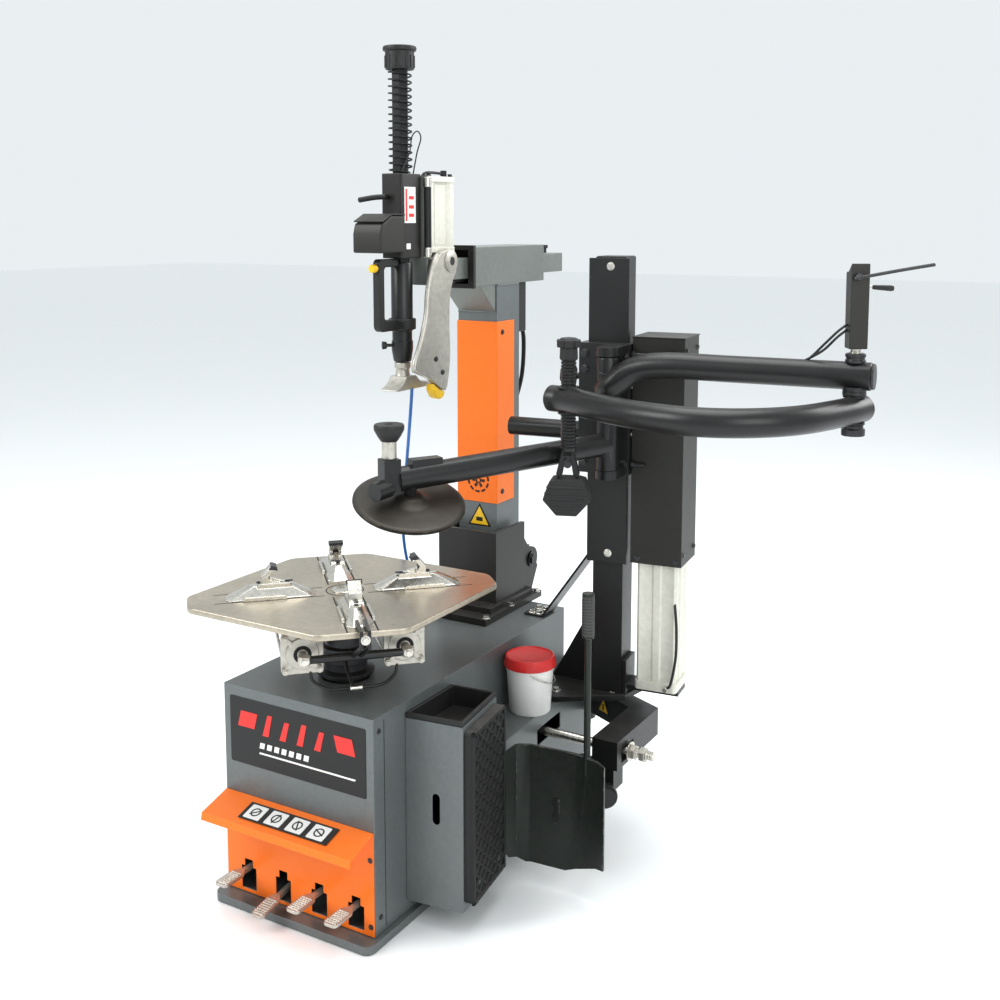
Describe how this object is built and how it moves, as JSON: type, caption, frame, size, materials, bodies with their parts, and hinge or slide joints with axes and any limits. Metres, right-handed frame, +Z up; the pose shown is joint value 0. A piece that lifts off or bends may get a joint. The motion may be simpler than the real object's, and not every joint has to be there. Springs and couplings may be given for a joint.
{
  "type": "tire changer machine",
  "caption": "Floor-standing tilt-back tire changer: turntable with clamping jaws, tool head on a tilting column, side bead breaker and a pneumatic assist tower.",
  "frame": {"origin": "the turntable's axis at floor level, on the underside of the base frame", "axes": "+Z up, -Y towards the pedals, +X towards the bead breaker and assist tower"},
  "size_m": [1.4856, 1.295, 2.007],
  "materials": {
    "cabinet_grey": "satin",
    "safety_orange": "satin",
    "powder_black": "grained",
    "black_plastic": "matt",
    "rubber": "ribbed",
    "cast_aluminium": "cast",
    "bright_steel": "brushed",
    "dark_steel": "oiled",
    "paste_white": "gloss",
    "signal_yellow": "gloss",
    "hose_blue": "gloss"
  },
  "bodies": {
    "frame": {"cabinet_shell": "cabinet_grey", "base_frame": "cabinet_grey", "pedal_cover": "safety_orange", "gearbox": "dark_steel", "drive_motor": "dark_steel", "column_base": "powder_black", "side_box": "cabinet_grey", "tool_tray": "black_plastic", "rubber_pad": "rubber", "shelf_beam": "cabinet_grey", "paste_bucket": "paste_white", "tower_bracket": "powder_black", "tower_post": "powder_black", "tower_brace": "powder_black", "lift_cylinder": "cast_aluminium"},
    "turntable": {"table_plate": "bright_steel", "table_hub": "dark_steel", "clamp_cylinder_left": "cast_aluminium", "clamp_cylinder_right": "cast_aluminium"},
    "jaw_front": {"jaw_front": "bright_steel"},
    "jaw_right": {"jaw_right": "bright_steel"},
    "jaw_back": {"jaw_back": "bright_steel"},
    "jaw_left": {"jaw_left": "bright_steel"},
    "pedal_tilt": {"pedal_tilt": "cast_aluminium"},
    "pedal_clamp": {"pedal_clamp": "cast_aluminium"},
    "pedal_breaker": {"pedal_breaker": "cast_aluminium"},
    "pedal_rotate": {"pedal_rotate": "cast_aluminium"},
    "column": {"column_tube": "cabinet_grey", "column_cover": "safety_orange", "arm_box": "cabinet_grey", "valve_box": "powder_black"},
    "head_slide": {"horizontal_slide": "bright_steel", "head_casting": "powder_black", "lock_cylinder": "cast_aluminium", "control_box": "powder_black", "return_spring": "dark_steel", "air_hose": "hose_blue"},
    "lock_lever": {"lock_lever": "black_plastic"},
    "tool_bar": {"tool_bar": "dark_steel", "tool_sleeve": "powder_black", "grip_handle": "black_plastic", "mount_head": "cast_aluminium"},
    "grip_button": {"grip_button": "signal_yellow"},
    "tool_arm": {"tool_arm": "cast_aluminium"},
    "carriage": {"carriage": "powder_black", "cylinder_cover": "powder_black"},
    "star_knob": {"star_knob": "black_plastic"},
    "upper_arm": {"upper_arm": "powder_black", "valve_post": "powder_black"},
    "valve_lever": {"valve_lever": "dark_steel"},
    "lower_arm": {"lower_arm": "powder_black"},
    "press": {"press_rod": "black_plastic", "pusher_block": "black_plastic"},
    "disc_arm": {"disc_arm": "powder_black"},
    "rim_disc": {"rim_disc": "powder_black"},
    "cone_roller": {"cone_roller": "bright_steel"},
    "breaker_cylinder": {"breaker_cylinder": "cabinet_grey"},
    "breaker_rod": {"breaker_rod": "bright_steel"},
    "breaker_arm": {"breaker_arm": "powder_black"},
    "breaker_blade": {"breaker_blade": "powder_black"}
  },
  "joints": [
    {"name": "turntable_spin", "type": "hinge", "parent": "frame", "child": "turntable", "pos_m": [0, 0, 0.7], "axis": [0, 0, 1], "continuous": true},
    {"name": "jaw_right_slide", "type": "slide", "parent": "turntable", "child": "jaw_right", "axis": [0.7071, 0.7071, 0], "range_m": [-0.02, 0.06]},
    {"name": "jaw_back_slide", "type": "slide", "parent": "turntable", "child": "jaw_back", "axis": [-0.7071, 0.7071, 0], "range_m": [-0.02, 0.06]},
    {"name": "jaw_left_slide", "type": "slide", "parent": "turntable", "child": "jaw_left", "axis": [-0.7071, -0.7071, 0], "range_m": [-0.02, 0.06]},
    {"name": "jaw_front_slide", "type": "slide", "parent": "turntable", "child": "jaw_front", "axis": [0.7071, -0.7071, 0], "range_m": [-0.02, 0.06]},
    {"name": "pedal_tilt_press", "type": "hinge", "parent": "frame", "child": "pedal_tilt", "pos_m": [-0.149, -0.02, 0.084], "axis": [1, 0, 0], "range_deg": [0, 11], "stiffness_Nm_per_rad": 8, "springref_deg": -14.32},
    {"name": "pedal_breaker_press", "type": "hinge", "parent": "frame", "child": "pedal_breaker", "pos_m": [0.06, -0.02, 0.084], "axis": [1, 0, 0], "range_deg": [0, 11], "stiffness_Nm_per_rad": 8, "springref_deg": -14.32},
    {"name": "pedal_rotate_press", "type": "hinge", "parent": "frame", "child": "pedal_rotate", "pos_m": [0.164, -0.02, 0.084], "axis": [1, 0, 0], "range_deg": [0, 11], "stiffness_Nm_per_rad": 8, "springref_deg": -14.32},
    {"name": "pedal_clamp_press", "type": "hinge", "parent": "frame", "child": "pedal_clamp", "pos_m": [-0.045, -0.02, 0.084], "axis": [1, 0, 0], "range_deg": [-10, 1]},
    {"name": "column_tilt", "type": "hinge", "parent": "frame", "child": "column", "pos_m": [0, 0.763, 0.627], "axis": [-1, 0, 0], "range_deg": [0, 25]},
    {"name": "head_slide_travel", "type": "slide", "parent": "column", "child": "head_slide", "axis": [0, -1, 0], "range_m": [-0.05, 0.11]},
    {"name": "lock_lever_turn", "type": "hinge", "parent": "head_slide", "child": "lock_lever", "pos_m": [-0.012, 0.2045, 1.648], "axis": [0, 1, 0], "range_deg": [-25, 25]},
    {"name": "tool_bar_travel", "type": "slide", "parent": "head_slide", "child": "tool_bar", "axis": [0, 0, -1], "range_m": [0, 0.14], "deforming": ["return_spring", "air_hose"]},
    {"name": "grip_button_press", "type": "slide", "parent": "tool_bar", "child": "grip_button", "axis": [0, 1, 0], "range_m": [0, 0.0035], "stiffness_N_per_m": 400, "springref_m": -0.002},
    {"name": "tool_arm_swing", "type": "hinge", "parent": "tool_bar", "child": "tool_arm", "pos_m": [0.06, 0.36, 1.49], "axis": [1, 0, 0], "range_deg": [-8, 25]},
    {"name": "carriage_travel", "type": "slide", "parent": "frame", "child": "carriage", "axis": [0, 0, 1], "range_m": [-0.09, 0.17]},
    {"name": "star_knob_turn", "type": "hinge", "parent": "carriage", "child": "star_knob", "pos_m": [0.35257, 0.53071, 1.2], "axis": [0.9934, 0.1149, 0], "continuous": true},
    {"name": "upper_arm_swing", "type": "hinge", "parent": "carriage", "child": "upper_arm", "pos_m": [0.45847, 0.45941, 1.12], "axis": [0, 0, 1], "range_deg": [-1, 14]},
    {"name": "valve_lever_tilt", "type": "hinge", "parent": "upper_arm", "child": "valve_lever", "pos_m": [1.05725, 0.47878, 1.47], "axis": [-0.5, 0.866, 0], "range_deg": [-12, 12], "stiffness_Nm_per_rad": 1.5},
    {"name": "lower_arm_swing", "type": "hinge", "parent": "upper_arm", "child": "lower_arm", "pos_m": [1.045, 0.5, 1.173], "axis": [0, 0, 1], "range_deg": [0, 60]},
    {"name": "press_travel", "type": "slide", "parent": "lower_arm", "child": "press", "axis": [0, 0, 1], "range_m": [-0.06, 0.018]},
    {"name": "disc_arm_swing", "type": "hinge", "parent": "carriage", "child": "disc_arm", "pos_m": [0.45847, 0.45941, 1.04], "axis": [0, 0, 1], "range_deg": [-14, 1]},
    {"name": "rim_disc_spin", "type": "hinge", "parent": "disc_arm", "child": "rim_disc", "pos_m": [0.185, 0.002, 0.96], "axis": [0.2599, -0.1999, 0.9447], "continuous": true},
    {"name": "cone_roller_spin", "type": "hinge", "parent": "disc_arm", "child": "cone_roller", "pos_m": [0.16495, -0.04453, 1.06638], "axis": [0, 0, 1], "continuous": true},
    {"name": "breaker_arm_swing", "type": "hinge", "parent": "frame", "child": "breaker_arm", "pos_m": [0.285, 0.7, 0.28], "axis": [0, 0, 1], "range_deg": [0, 20]},
    {"name": "breaker_cylinder_swing", "type": "hinge", "parent": "frame", "child": "breaker_cylinder", "pos_m": [0, 0.42, 0.292], "axis": [0, 0, 1], "range_deg": [-1, 10]},
    {"name": "breaker_rod_travel", "type": "slide", "parent": "breaker_cylinder", "child": "breaker_rod", "axis": [1, 0, 0], "range_m": [-0.005, 0.1]},
    {"name": "breaker_blade_swing", "type": "hinge", "parent": "breaker_arm", "child": "breaker_blade", "pos_m": [0.452, 0.362, 0.2], "axis": [0, 0, 1], "range_deg": [-2, 20]}
  ],
  "couplings": [
    {"joint": "jaw_back_slide", "follows": "jaw_right_slide", "ratio": 1},
    {"joint": "jaw_left_slide", "follows": "jaw_right_slide", "ratio": 1},
    {"joint": "jaw_front_slide", "follows": "jaw_right_slide", "ratio": 1},
    {"joint": "breaker_cylinder_swing", "follows": "breaker_arm_swing", "ratio": 0.4487},
    {"joint": "breaker_rod_travel", "follows": "breaker_arm_swing", "m_per_rad": 0.2567}
  ]
}
